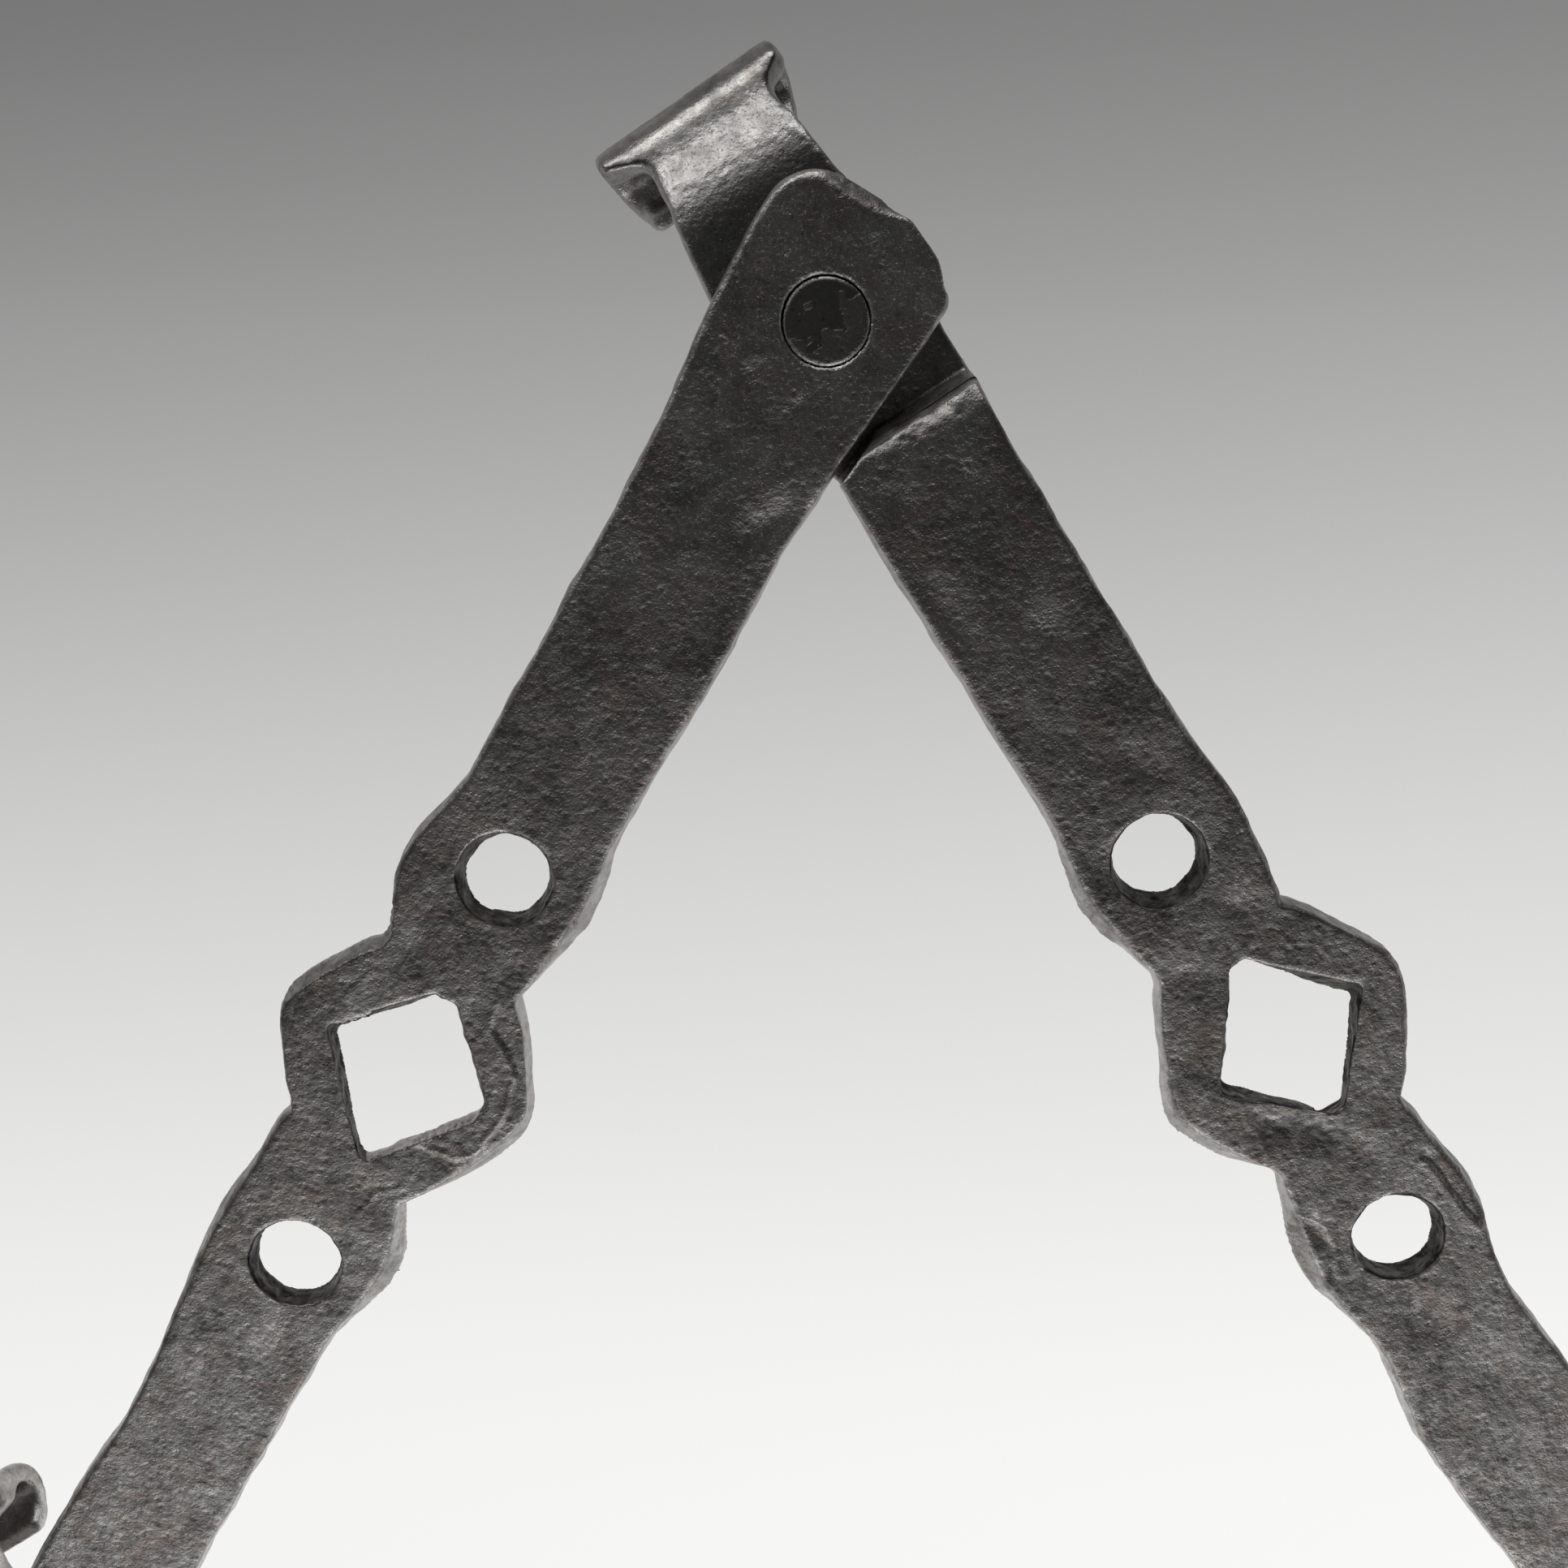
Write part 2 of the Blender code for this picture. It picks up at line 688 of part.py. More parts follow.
rivet("top_rivet", top_pin)
rivet("left_rivet", left_pin)
rivet("right_rivet", right_pin)
rivet("bottom_rivet", bottom_pin)
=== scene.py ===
"""Looks of the folding trivet: hand-forged surfaces, worn iron, a pale studio."""

import math

import bmesh
import bpy
import json
import numpy as np
from mathutils import Matrix, Vector


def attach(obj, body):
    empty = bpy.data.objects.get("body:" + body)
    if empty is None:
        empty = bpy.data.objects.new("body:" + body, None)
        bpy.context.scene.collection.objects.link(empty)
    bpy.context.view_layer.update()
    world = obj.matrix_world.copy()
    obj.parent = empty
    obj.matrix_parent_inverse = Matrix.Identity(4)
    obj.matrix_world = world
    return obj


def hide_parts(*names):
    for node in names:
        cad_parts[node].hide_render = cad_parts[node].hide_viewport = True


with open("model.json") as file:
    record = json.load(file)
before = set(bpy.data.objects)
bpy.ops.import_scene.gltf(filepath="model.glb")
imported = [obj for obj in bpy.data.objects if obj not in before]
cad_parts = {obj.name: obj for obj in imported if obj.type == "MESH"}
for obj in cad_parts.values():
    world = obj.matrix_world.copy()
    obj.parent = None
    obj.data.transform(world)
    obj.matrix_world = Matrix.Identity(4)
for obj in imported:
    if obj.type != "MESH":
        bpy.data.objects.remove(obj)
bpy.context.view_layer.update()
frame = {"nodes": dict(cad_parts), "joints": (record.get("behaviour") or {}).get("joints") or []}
nodes = frame["nodes"]
pivots = {joint["name"]: Vector(joint["pos_m"]) for joint in frame["joints"]}
TOP_PIN = pivots["top_pivot"]
LEFT_PIN = pivots["left_pivot"]
RIGHT_PIN = pivots["right_pivot"]
BOTTOM_PIN = LEFT_PIN + RIGHT_PIN - TOP_PIN
TOP = TOP_PIN.z * 1000.0
PITCH = (LEFT_PIN - TOP_PIN).length * 1000.0
THICK = 6.35
LAP = TOP - THICK - 0.3

bpy.context.scene.view_settings.view_transform = "Standard"
bpy.context.scene.view_settings.look = "None"

# ---- seeded noise --------------------------------------------------------


def ramp(x, low, high):
    t = np.clip((x - low) / (high - low), 0.0, 1.0)
    return t * t * (3.0 - 2.0 * t)


class Noise:
    """Gradient noise in three dimensions, about -1 to 1."""

    def __init__(self, seed):
        rng = np.random.RandomState(seed)
        self.table = np.tile(rng.permutation(256), 3)
        slopes = rng.normal(size=(256, 3))
        self.slopes = slopes / np.linalg.norm(slopes, axis=1)[:, None]

    def at(self, x):
        cell = np.floor(x).astype(np.int64)
        part = x - cell
        cell &= 255
        fade = part**3 * (part * (part * 6.0 - 15.0) + 10.0)
        total = np.zeros(len(x))
        for dx in (0, 1):
            for dy in (0, 1):
                for dz in (0, 1):
                    index = self.table[self.table[self.table[cell[:, 0] + dx] + cell[:, 1] + dy] + cell[:, 2] + dz]
                    value = (self.slopes[index] * (part - np.array([dx, dy, dz]))).sum(1)
                    weight = fade[:, 0] if dx else 1.0 - fade[:, 0]
                    weight = weight * (fade[:, 1] if dy else 1.0 - fade[:, 1])
                    weight = weight * (fade[:, 2] if dz else 1.0 - fade[:, 2])
                    total += weight * value
        return total * 1.7

    def fbm(self, x, octaves=3, gain=0.5):
        total, size = np.zeros(len(x)), 1.0
        for i in range(octaves):
            total += size * self.at(x * 2.0**i + 17.3 * i)
            size *= gain
        return total

    def creased(self, x, octaves=3, gain=0.5):
        """Ridged: sharp crests between round hollows, 0 to about 1."""
        total, size = np.zeros(len(x)), 1.0
        for i in range(octaves):
            total += size * (1.0 - np.abs(self.at(x * 2.0**i + 9.1 * i)))
            size *= gain
        return total / (1.0 / (1.0 - gain)) if gain < 1.0 else total / octaves


# ---- mesh work -----------------------------------------------------------


def arrays_of(mesh):
    points = np.empty(len(mesh.vertices) * 3, np.float64)
    mesh.vertices.foreach_get("co", points)
    edges = np.empty(len(mesh.edges) * 2, np.int64)
    mesh.edges.foreach_get("vertices", edges)
    return points.reshape(-1, 3), edges.reshape(-1, 2)


def remeshed(node, to_local, voxel):
    """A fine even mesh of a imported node, in millimetres, in its bar's own frame."""
    bm = bmesh.new()
    bm.from_mesh(nodes[node].data)
    bm.transform(Matrix.Scale(1000.0, 4) @ to_local)
    bmesh.ops.remove_doubles(bm, verts=bm.verts, dist=0.002)
    mesh = bpy.data.meshes.new("source")
    bm.to_mesh(mesh)
    bm.free()
    holder = bpy.data.objects.new("source", mesh)
    bpy.context.scene.collection.objects.link(holder)
    modifier = holder.modifiers.new("even", "REMESH")
    modifier.mode = "VOXEL"
    modifier.voxel_size = voxel
    modifier.adaptivity = 0.0
    graph = bpy.context.evaluated_depsgraph_get()
    fine = bpy.data.meshes.new_from_object(holder.evaluated_get(graph), depsgraph=graph)
    bpy.data.objects.remove(holder)
    bpy.data.meshes.remove(mesh)
    fine.materials.clear()
    return fine


class Skin:
    """A mesh as arrays: points, normals and neighbours, with smoothing."""

    def __init__(self, mesh):
        self.mesh = mesh
        self.points, self.edges = arrays_of(mesh)
        self.count = np.bincount(self.edges.ravel(), minlength=len(self.points)).astype(float)
        mesh.calc_loop_triangles()
        tri = np.empty(len(mesh.loop_triangles) * 3, np.int64)
        mesh.loop_triangles.foreach_get("vertices", tri)
        self.triangles = tri.reshape(-1, 3)

    def mean(self, values):
        """Average of each vertex's neighbours."""
        a, b = self.edges.T
        if values.ndim == 1:
            total = np.bincount(a, values[b], len(self.points)) + np.bincount(b, values[a], len(self.points))
            return total / self.count
        return np.stack([self.mean(values[:, i]) for i in range(values.shape[1])], axis=1)

    def smooth(self, rounds, keep=None):
        for _ in range(rounds):
            for step in (0.5, -0.52):
                moved = self.points + step * (self.mean(self.points) - self.points)
                self.points = moved if keep is None else np.where(keep[:, None], self.points, moved)

    def blurred(self, values, rounds):
        for _ in range(rounds):
            values = 0.5 * values + 0.5 * self.mean(values)
        return values

    def normals(self):
        p = self.points[self.triangles]
        face = np.cross(p[:, 1] - p[:, 0], p[:, 2] - p[:, 0])
        total = np.zeros_like(self.points)
        for i in range(3):
            for k in range(3):
                total[:, k] += np.bincount(self.triangles[:, i], face[:, k], len(self.points))
        return total / np.maximum(np.linalg.norm(total, axis=1), 1e-12)[:, None]

    def write(self, to_world):
        rotated = self.points @ np.array(to_world.to_3x3()).T * 0.001 + np.array(to_world.translation)
        self.mesh.vertices.foreach_set("co", rotated.astype(np.float32).ravel())
        self.mesh.polygons.foreach_set("use_smooth", np.ones(len(self.mesh.polygons), bool))
        self.mesh.update()

    def store(self, name, values):
        attribute = self.mesh.attributes.new(name, "FLOAT", "POINT")
        attribute.data.foreach_set("value", np.asarray(values, np.float32))


def to_segment(p, a, b):
    """Distance to a segment, and which side of it, in the plane."""
    a, b = np.array(a), np.array(b)
    d = b - a
    t = np.clip(((p - a) @ d) / (d @ d), 0.0, 1.0)
    nearest = a + t[:, None] * d
    off = p - nearest
    side = np.sign(d[0] * off[:, 1] - d[1] * off[:, 0])
    return np.linalg.norm(off, axis=1), side


def along_line(p, line):
    best, side = np.full(len(p), 1e9), np.zeros(len(p))
    for a, b in zip(line, line[1:]):
        d, s = to_segment(p, a, b)
        closer = d < best
        best, side = np.where(closer, d, best), np.where(closer, s, side)
    return best, side


def bump_at(p, at, size, turn=0.0):
    """Round bump of height 1 at a place, its two half-sizes and turn given."""
    c, s = math.cos(turn), math.sin(turn)
    d = p - np.array(at)
    u = (d[:, 0] * c + d[:, 1] * s) / size[0]
    v = (-d[:, 0] * s + d[:, 1] * c) / size[1]
    return np.exp(-(u * u + v * v) * 1.6)


# ---- features of the two kinds of bar, (distance from first rivet, across) ----

PLAIN = {
    # round holes: along, across, lean of the drift, radius above and below
    "holes": [(95.4, -0.8, 0.8, 7.5, 6.4), (169.2, 0.0, 1.6, 7.5, 6.7)],
    # diamond: centre and half-sizes above, then below
    "diamond": ((131.3, 0.3, 16.3, 14.3), (134.0, 0.95, 16.4, 13.45)),
    "dents": [
        ((11.6, -10.2), (3.4, 2.0), 0.6, -0.22),
        ((11.2, -5.2), (2.4, 1.6), -0.4, -0.20),
        ((16.2, -8.6), (3.8, 2.0), 0.3, -0.20),
        ((12.5, 2.6), (2.2, 1.5), 0.5, -0.12),
        ((15.2, 1.8), (3.0, 2.0), 0.2, -0.16),
        ((21.0, -4.0), (4.0, 2.6), 0.9, -0.14),
        ((-12.3, 0.8), (1.6, 0.9), 0.2, -0.14),
        ((-9.0, 5.5), (2.6, 1.8), 0.5, -0.12),
        ((28.5, 7.5), (7.0, 3.4), -0.5, -0.42),
        ((34.0, 11.0), (5.0, 3.0), -0.2, -0.30),
        ((31.0, -6.0), (6.0, 3.4), 0.3, -0.16),
        ((47.0, -9.0), (6.5, 3.6), 0.1, -0.16),
        ((60.0, 5.0), (6.0, 4.2), 0.7, -0.14),
        ((74.0, -5.0), (6.5, 4.2), 0.3, -0.14),
        ((108.0, 7.0), (5.0, 3.6), 0.4, -0.22),
        ((112.5, -8.0), (4.5, 2.6), 0.6, -0.22),
        ((153.0, 5.5), (5.0, 3.0), 0.9, -0.25),
        ((185.0, 4.0), (7.0, 4.5), 0.2, -0.22),
        ((196.0, -4.0), (8.0, 5.0), 0.3, -0.16),
    ],
    "folds": [
        [(-11.6, -9.2), (-12.2, -7.0), (-11.2, -5.6)],
        [(148.0, 8.6), (151.0, 5.4), (155.5, 4.6)],
        [(119.5, -12.4), (126.0, -14.6), (133.5, -13.2)],
    ],
    "ledges": [
        [(113.0, 7.6), (117.7, 8.6), (120.0, 12.6), (123.4, 15.9), (128.2, 17.4), (133.9, 17.0), (138.0, 16.8), (140.2, 14.2), (141.0, 10.4)],
    ],
    "cut_wall": 1,
}
FOOTED = {
    "holes": [(94.0, -0.2, 0.5, 7.5, 6.3), (168.7, 0.6, 1.5, 7.5, 6.6)],
    "diamond": ((129.25, 2.45, 16.25, 13.85), (132.05, 2.05, 16.55, 12.35)),
    "dents": [
        ((26.0, -5.0), (5.0, 3.4), 0.4, -0.14),
        ((31.0, 6.0), (5.5, 3.6), 0.2, -0.16),
        ((44.0, -7.5), (9.0, 3.0), 0.1, -0.22),
        ((55.0, 4.0), (6.5, 4.2), 0.8, -0.14),
        ((69.0, -3.0), (6.0, 4.0), 0.2, -0.14),
        ((80.0, 5.5), (5.5, 3.5), 0.5, -0.16),
        ((107.0, 6.0), (3.6, 2.6), 0.4, -0.20),
        ((112.0, -6.0), (4.6, 3.0), 0.7, -0.20),
        ((141.5, -6.0), (4.4, 3.4), 0.5, -0.26),
        ((145.5, -1.0), (4.6, 3.6), 0.1, -0.28),
        ((153.0, 3.0), (5.0, 3.4), 0.4, -0.25),
        ((161.0, -10.0), (5.0, 2.4), 0.1, -0.30),
        ((184.0, -3.0), (8.0, 5.0), 0.4, -0.30),
        ((200.0, 3.0), (9.0, 6.0), 0.4, -0.22),
    ],
    "folds": [
        [(126.5, 16.9), (128.3, 16.1), (131.9, 14.4), (136.0, 13.4), (142.4, 12.1), (144.6, 11.8)],
        [(113.5, 8.6), (116.1, 9.4), (118.8, 12.8), (123.3, 14.6), (127.6, 16.1)],
        [(89.2, -17.6), (92.0, -14.8), (95.1, -13.5)],
        [(131.2, -12.8), (134.5, -10.2), (141.0, -10.3), (146.9, -11.4)],
        [(102.5, 9.5), (106.0, 6.0), (110.5, 7.5)],
    ],
    "ledges": [
        [(159.2, 10.3), (163.0, 11.1), (169.1, 11.5), (173.5, 12.4)],
        [(157.1, -11.2), (161.0, -8.9), (165.0, -9.2), (169.0, -11.1)],
    ],
    "cut_wall": 0,
}


def forge(skin, shape, footed, seed, exact):
    """Moves a bar's points as its maker's hammer, punch and scale would have."""
    wide, fine, edge_noise = Noise(seed), Noise(seed + 1), Noise(seed + 2)
    skin.smooth(3)
    if footed:
        # the scrolls were finished soft and round
        beyond = np.maximum(-skin.points[:, 0], skin.points[:, 0] - PITCH)
        soften = ramp(beyond, 22.0, 28.0)[:, None]
        for _ in range(9):
            skin.points = skin.points + soften * (skin.mean(skin.points) - skin.points)
    else:
        # the inner corner of a plain end is rounded about its rivet
        q = skin.points
        past = np.maximum(-q[:, 0], q[:, 0] - PITCH)
        away = np.hypot(past, q[:, 1])
        around = np.degrees(np.arctan2(q[:, 1], past))
        push = 1.4 * ramp(around, -2.0, 13.0) * (1.0 - ramp(around, 30.0, 48.0)) * ramp(away, 8.5, 15.5) * (past > 0.0)
        push /= np.maximum(away, 1.0)
        outward = np.stack([np.where(q[:, 0] < 0.0, -past, past), q[:, 1], 0.0 * past], 1)
        skin.points = q + push[:, None] * outward
    p = skin.points
    n = skin.normals()
    s, y, z = p[:, 0], p[:, 1], p[:, 2]
    flat = p[:, :2]
    to_pin = np.minimum(np.hypot(s, y), np.hypot(s - PITCH, y))
    top = ramp(n[:, 2], 0.45, 0.85) * (z > TOP - 2.4)
    side = 1.0 - ramp(np.abs(n[:, 2]), 0.35, 0.8)
    under = ramp(-n[:, 2], 0.45, 0.85)
    bore = (to_pin < 8.2) & (np.abs(n[:, 2]) < 0.75)
    if footed:
        lapped = ramp(n[:, 2], 0.2, 0.5) * (z < TOP - 5.0)
    else:
        lapped = ramp(-n[:, 2], 0.2, 0.5)
    facing_lap = lapped * (1.0 - ramp(to_pin, 19.0, 29.0))
    free = np.where(bore, 0.0, 1.0) * (1.0 - 0.75 * facing_lap)
    out = np.maximum(-s, s - PITCH)                       # how far past a rivet
    foot = ramp(out, 18.0, 26.0) if footed else np.zeros(len(p))
    roll = ramp(out, 30.0, 34.0) if footed else np.zeros(len(p))

    # holes: how near, and whether a point is on a wall
    wall = np.zeros(len(p))
    rim = np.zeros(len(p))
    rim_line = np.zeros(len(p))
    up = np.clip((z - (TOP - THICK)) / THICK, 0.0, 1.0)
    for at_s, at_y, lean, above, below in shape["holes"]:
        r = np.hypot(s - at_s - lean * (1.0 - up), y - at_y)
        radius = below + (above - below) * up
        wall = np.maximum(wall, (np.abs(r - radius) < 0.9) * side)
        rim = np.maximum(rim, np.exp(-((r - radius - 0.6) / 2.4) ** 2) * top)
        rim_line = np.maximum(rim_line, np.exp(-((r - radius - 0.2) / 0.5) ** 2))
    above, below = (np.array(part) for part in shape["diamond"])
    d_s, d_y, d_long, d_wide = above
    placed = below + up[:, None] * (above - below)
    square = np.abs(s - placed[:, 0]) / placed[:, 2] + np.abs(y - placed[:, 1]) / placed[:, 3]
    in_square = (square < 1.2) & (side > 0.3)
    wall = np.maximum(wall, in_square * side)
    boss = np.exp(-(((s - d_s) / 24.0) ** 4)) * np.ones(len(p))

    move = np.zeros(len(p))
    # planished top: slow waves and a few hammer marks
    move += top * 0.10 * wide.fbm(p / np.array([15.0, 9.0, 9.0]), 2)
    if exact:
        dents = shape["dents"]
        folds = shape["folds"]
        ledges = shape["ledges"]
    else:
        rng = np.random.RandomState(seed)
        dents = [
            ((a[0] + rng.uniform(-5, 5), a[1] + rng.uniform(-2, 2)), size, turn + rng.uniform(-1, 1), depth)
            for a, size, turn, depth in shape["dents"]
        ]
        shift = rng.uniform(-1.2, 1.2, 2)
        folds = [[(a + shift[0], b + shift[1] * 0.3) for a, b in line] for line in shape["folds"][:3]]
        ledges = [[(a + shift[1], b) for a, b in line] for line in shape["ledges"]]
    for at, size, turn, depth in dents:
        move += top * 1.7 * depth * bump_at(flat, at, size, turn)
    # rims drawn down a little by the drift
    move -= rim * 0.16 * (1.0 + 0.6 * wide.at(p / 3.0))
    # fire scale: leathery grain, softer on the scrolls
    grain = 0.030 * fine.fbm(p / np.array([2.6, 2.2, 2.2]), 3, 0.6)
    grain += 0.045 * (fine.creased(p / 3.4 + 40.0, 2) - 0.75)
    grain *= 1.0 - 0.65 * roll
    coarse = ramp(wide.at(p / 22.0 + 7.0), -0.2, 0.5)
    move += grain * (0.75 + 0.5 * coarse)
    move += (boss + 1.4 * foot * (1.0 - roll)) * 0.05 * fine.fbm(p / 1.5 + 90.0, 2)
    # sides: long hammer flats and a wandering outline
    strike = wide.creased(p / np.array([8.5, 30.0, 9.0]) + 3.0, 1) - 0.6
    move += side * free * (0.32 * edge_noise.fbm(np.stack([s / 11.0, z / 16.0, y * 0.0 + np.sign(y) * 5.0], 1), 3, 0.6) + 0.22 * strike)
    swellings = np.exp(-(((s - 96.0) / 14.0) ** 2)) + np.exp(-(((s - 165.0) / 15.0) ** 2))
    move += side * free * (1.0 - wall) * swellings * 0.26 * (edge_noise.at(p / np.array([7.0, 40.0, 6.0]) + 11.0))
    move += side * wall * 0.30 * edge_noise.fbm(p / np.array([3.6, 3.6, 5.0]) + 5.0, 2)
    # underside: rougher, plain hammer work
    move += under * 0.16 * wide.fbm(p / 7.0 + 60.0, 3)
    # cold shuts: a fine crack with one lip raised
    crack = np.zeros(len(p))
    lip = np.zeros(len(p))
    wobble = np.stack([fine.at(p / 2.6 + 3.0), fine.at(p / 2.6 + 8.0)], 1) * 0.45
    ledge = np.zeros(len(p))
    for line in folds:
        d, which = along_line(flat + wobble, line)
        crack = np.maximum(crack, 0.55 * np.exp(-((d / 0.24) ** 2)))
        lip = np.maximum(lip, 0.6 * np.exp(-((d * which - 0.5) / 0.4) ** 2))
    for line in ledges:
        d, which = along_line(flat + 0.6 * wobble, line)
        outward = which * np.sign(line[len(line) // 2][1]) * d
        crack = np.maximum(crack, 0.6 * np.exp(-(((outward - 0.35) / 0.26) ** 2)))
        lip = np.maximum(lip, np.exp(-((outward + 0.45) / 0.42) ** 2))
        # beyond the line, towards the side, the surface lies a little lower
        middle = np.array(line).mean(0)
        span = np.hypot(*(np.array(line[0]) - np.array(line[-1]))) * 0.5 + 1.5
        local = 1.0 - ramp(np.hypot(*(flat - middle).T), span * 0.75, span * 1.15)
        ledge = np.maximum(ledge, ramp(outward, -0.05, 0.55) * np.exp(-((outward / 4.2) ** 2)) * local)
    broken = ramp(fine.at(p / 4.4 + 21.0), -1.0, -0.45)
    crack, lip = crack * top * broken, lip * top * broken
    move += -0.16 * crack + 0.14 * lip - 0.34 * ledge * top
    # the shiny pitted hollow beside a footed bar's diamond
    pits = np.zeros(len(p))
    if footed:
        pits = np.maximum(bump_at(flat, (141.5, -6.0), (5.2, 3.8), 0.5), bump_at(flat, (145.5, -1.0), (5.2, 4.4), 0.1)) * top
        move += pits * 0.42 * (fine.creased(p / 1.7 + 70.0, 2) - 0.75)

    limit = 1.2 - 1.13 * facing_lap
    move = np.clip(move * free, -limit, limit)
    beside = ramp(to_pin, 22.0, 34.0)
    move = np.where(side > 0.3, np.clip(move, -0.35 - 0.9 * beside, 0.12 + 1.1 * beside), move)
    skin.points = p + n * move[:, None]

    # one wall of the left bar's diamond was dressed with a chisel, leaving steps
    if shape["cut_wall"]:
        q = skin.points
        up = np.clip((q[:, 2] - (TOP - THICK)) / THICK, 0.0, 1.0)
        lower = (q[:, 0] > d_s + 0.5) & (q[:, 1] > d_y + 0.5) & in_square
        along = (q[:, 0] - d_s) - (q[:, 1] - d_y)
        steps = 0.20 * np.sign(np.sin(along * 3.6 + 2.0 * fine.at(q / 2.0))) * ramp(along, -13.0, -7.0) * (1 - ramp(along, 3.0, 6.0))
        outward = np.array([0.69, 0.72, 0.0])
        lower = np.clip(2.2 * skin.blurred(lower.astype(float), 10), 0.0, 1.0)
        shift = (1.3 * ramp(up, 0.2, 1.0) + steps * up) * lower
        skin.points = q + outward * shift[:, None]
        # outer flank of the upper boss, chopped the same way
        flank = (q[:, 1] < -9.0) & (q[:, 0] > 108.0) & (q[:, 0] < d_s - 2.0) & (side > 0.3)
        cuts = 0.14 * np.sign(np.sin((q[:, 0]) * 5.2 + fine.at(q / 2.5))) * up
        lean = 0.9 * ramp(up, 0.45, 1.0)
        skin.points[:, 1] += (lean + cuts) * np.clip(2.2 * skin.blurred(flank.astype(float), 8), 0.0, 1.0)
    # plain ends: a broad hammered bevel
    planed = np.zeros(len(p))
    torn = np.zeros(len(p))
    if not footed:
        q = skin.points
        past = np.maximum(-q[:, 0], q[:, 0] - PITCH)
        to_end, to_side = 18.2 - past, 15.6 + q[:, 1]
        corner = 6.0 - np.hypot(np.maximum(6.0 - to_end, 0.0), np.maximum(6.0 - to_side, 0.0))
        inside = np.where((to_end < 6.0) | (to_side < 6.0), corner, 6.0)
        ragged = 1.9 + 0.35 * edge_noise.at(q / 2.4 + 31.0) + 0.3 * edge_noise.at(q / 6.0 + 3.0)
        reach = ragged * (0.12 + 0.88 * ramp(past, 10.0, 15.0)) * (1.0 - 0.8 * ramp(q[:, 1], -2.0, 5.0))
        fall = np.clip(reach - inside, 0.0, 2.6) * ramp(past, 2.0, 9.0) * (q[:, 2] > TOP - 4.0)
        skin.points[:, 2] -= skin.blurred(fall, 1) * 0.80
        # planed marks the end bevel, which gets a painted highlight of paler metal
        planed = skin.blurred(ramp(fall, 0.15, 0.6), 1)
        # beyond its outer corner the end was sheared and left dark
        torn = planed * ramp(q[:, 1], -10.5, -9.0) * (1.0 - ramp(q[:, 1], 3.0, 5.5))
        planed = planed * (1.0 - ramp(q[:, 1], -10.5, -9.0))
    else:
        # the brow above each shoulder is rounded over, most on the outer side
        q = skin.points
        for edge, inward in ((18.5, q[:, 0]), (20.1, PITCH - q[:, 0])):
            u = (inward - edge) / (2.4 + 2.6 * ramp(q[:, 1], -8.0, 12.0))
            brow = (1.0 - np.clip(u, 0.0, 1.0)) ** 2 * (u > -0.6) * (q[:, 2] > TOP - 2.2)
            brow *= 0.35 + 0.75 * ramp(q[:, 1], -8.0, 10.0)
            worn = 1.0 + 0.5 * edge_noise.at(q / 2.2 + 17.0)
            skin.points[:, 2] -= skin.blurred(brow * worn, 2) * 1.5
    # nothing goes under the ground
    skin.points[:, 2] = np.maximum(skin.points[:, 2], 0.0)

    # what the material needs to know
    skin.mesh.update()
    fresh = skin.normals()
    soft = skin.points
    for _ in range(5):
        soft = 0.5 * soft + 0.5 * skin.mean(soft)
    turn = ((skin.points - soft) * fresh).sum(1)
    turn = skin.blurred(turn, 1)
    rim_line = np.clip(rim_line * top * (0.55 + 1.2 * fine.at(p / 2.0 + 5.0)), 0.0, 1.0)
    skin.store("wear", np.maximum(ramp(turn, 0.05, 0.17), skin.blurred(rim_line, 1)))
    skin.store("hollow", ramp(-turn, 0.03, 0.15) * (1.0 - foot))
    dressed = np.zeros(len(p))
    if shape["cut_wall"]:
        dressed = (in_square & (s > d_s + 1.0) & (y > d_y + 1.0)).astype(float)
    # hole_wall marks where the material paints shade inside the holes; the chisel-dressed wall is left out
    skin.store("hole_wall", skin.blurred(wall * (1.0 - dressed), 1))
    # fold also carries painted shadow beside the raised lips and steps
    skin.store("fold", skin.blurred(crack, 1))
    shoulder = np.zeros(len(p))
    past = np.maximum(-s, s - PITCH)
    if footed:
        shoulder = ((past < 2.0) & (z > LAP + 0.6) & (z < TOP - 0.2) & (np.minimum(s, PITCH - s) < 22.5) & (n[:, 2] > 0.12)).astype(float)
    slope = foot * ramp(n[:, 2], -0.35, 0.1)
    outer = (y > 0.0) if footed else (y < 0.0)
    # inner flanks: paler metal painted on for the light they catch from the floor
    rubbed_edges_and_lit_flanks = side * (1.0 - outer) * (1.0 - wall) * (to_pin > 9.0) * (z > TOP - THICK - 1.0) * (1.0 - foot)
    # paler metal: painted sheen on the shoulder, the foot's slope and the inner flanks, and a painted highlight on the
    # plain ends' bevel
    skin.store("bare_and_painted_sheen", np.maximum.reduce([
        skin.blurred(shoulder, 3) * 0.30, slope * (0.70 - 0.60 * roll), 0.55 * skin.blurred(rubbed_edges_and_lit_flanks, 1), 0.9 * planed,
    ]))
    # painted light: the shoulder's steep face is made paler and less metallic, so the lamps light it in place of its
    # reflection
    skin.store("shoulder_painted_light", skin.blurred(shoulder, 3))
    # outer flanks: painted shade, darker and less metallic; the sheared end's dark is its own
    skin.store("flank_shade_and_torn_end", np.maximum(skin.blurred(side * outer * (1.0 - foot) * (1.0 - wall), 1), torn))
    skin.store("sleek", np.maximum.reduce([0.9 * roll, skin.blurred(shoulder, 2) * 0.6, facing_lap * 0.5, pits * 0.5]))
    skin.store("across", y)
    skin.store("along", s)


